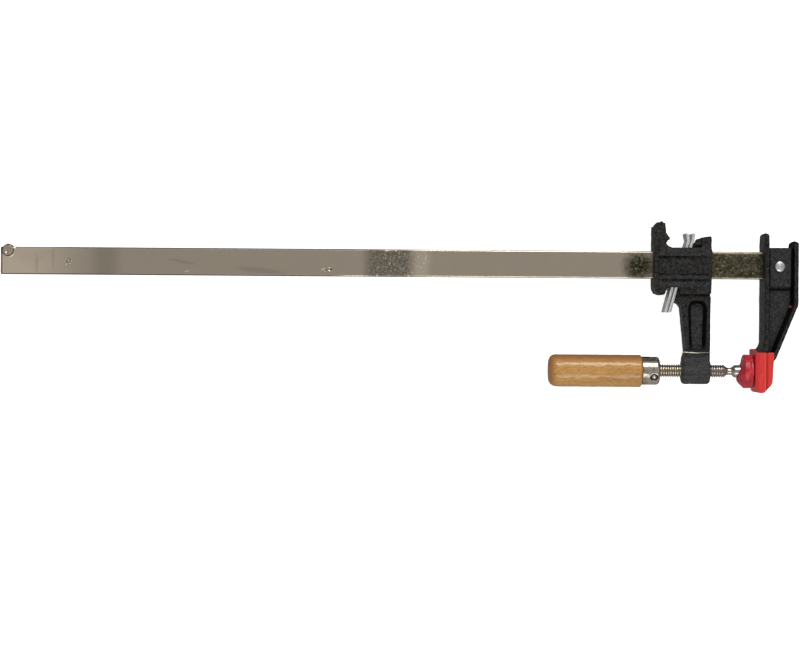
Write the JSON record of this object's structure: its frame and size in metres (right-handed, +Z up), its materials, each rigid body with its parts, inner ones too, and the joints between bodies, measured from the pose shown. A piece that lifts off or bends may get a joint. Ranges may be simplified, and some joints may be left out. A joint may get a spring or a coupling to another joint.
{
  "type": "bar clamp",
  "caption": "Clutch-style bar clamp: flat steel bar, fixed jaw, and sliding jaw with a wooden-handled screw, swivel pad and soft red pads.",
  "frame": {"origin": "middle of the base of the bounding box, the clamp lying on its side", "axes": "+X along the bar towards the fixed jaw, +Y across the bar away from the jaws' reach, +Z up through the clamp's thickness"},
  "size_m": [0.55, 0.1166, 0.0276],
  "materials": {
    "bar_nickel": "nickel-plated cold-rolled steel, satin with cloudy patches",
    "black_paint": "black enamel over rough cast iron",
    "zinc": "bright zinc plate",
    "spring_steel": "bare spring wire",
    "screw_nickel": "nickel-plated steel, rolled thread",
    "ferrule_nickel": "nickel-plated sheet steel",
    "red_pad": "soft dipped vinyl, semi-gloss",
    "crimson_pad": "soft dipped vinyl, semi-gloss",
    "varnished_wood": "clear-varnished light hardwood"
  },
  "bodies": {
    "frame": {"bar": "bar_nickel", "fixed_jaw": "black_paint", "fixed_jaw_rivet": "zinc", "fixed_jaw_pad": "red_pad"},
    "sliding_head": {"sliding_jaw": "black_paint", "clutch_spring": "spring_steel"},
    "clutch_left": {"clutch_plate_left": "zinc"},
    "clutch_right": {"clutch_plate_right": "zinc"},
    "pad": {"swivel_pad": "screw_nickel", "swivel_pad_cap": "crimson_pad"},
    "spindle": {"screw": "screw_nickel", "handle": "varnished_wood", "ferrule": "ferrule_nickel", "handle_pin": "zinc"}
  },
  "joints": [
    {"name": "head_slide", "type": "slide", "parent": "frame", "child": "sliding_head", "axis": [-1, 0, 0], "range_m": [0, 0.4415]},
    {"name": "clutch_left_tilt", "type": "hinge", "parent": "sliding_head", "child": "clutch_left", "pos_m": [0.1905, 0.00497, 0.0138], "axis": [0, 0, 1], "range_deg": [0, 10], "stiffness_Nm_per_rad": 0.3, "springref_deg": -5.73, "deforming": ["clutch_spring"]},
    {"name": "clutch_right_tilt", "type": "hinge", "parent": "sliding_head", "child": "clutch_right", "pos_m": [0.1905, 0.00497, 0.0138], "axis": [0, 0, 1], "range_deg": [0, 10]},
    {"name": "screw_feed", "type": "slide", "parent": "sliding_head", "child": "pad", "axis": [-1, 0, 0], "range_m": [0, 0.0168]},
    {"name": "screw_turn", "type": "hinge", "parent": "pad", "child": "spindle", "pos_m": [0.2, -0.04303, 0.0138], "axis": [-1, 0, 0], "range_deg": [0, 3780]}
  ],
  "couplings": [
    {"joint": "clutch_right_tilt", "follows": "clutch_left_tilt", "ratio": 1},
    {"joint": "screw_turn", "follows": "screw_feed", "rad_per_m": 3927}
  ]
}
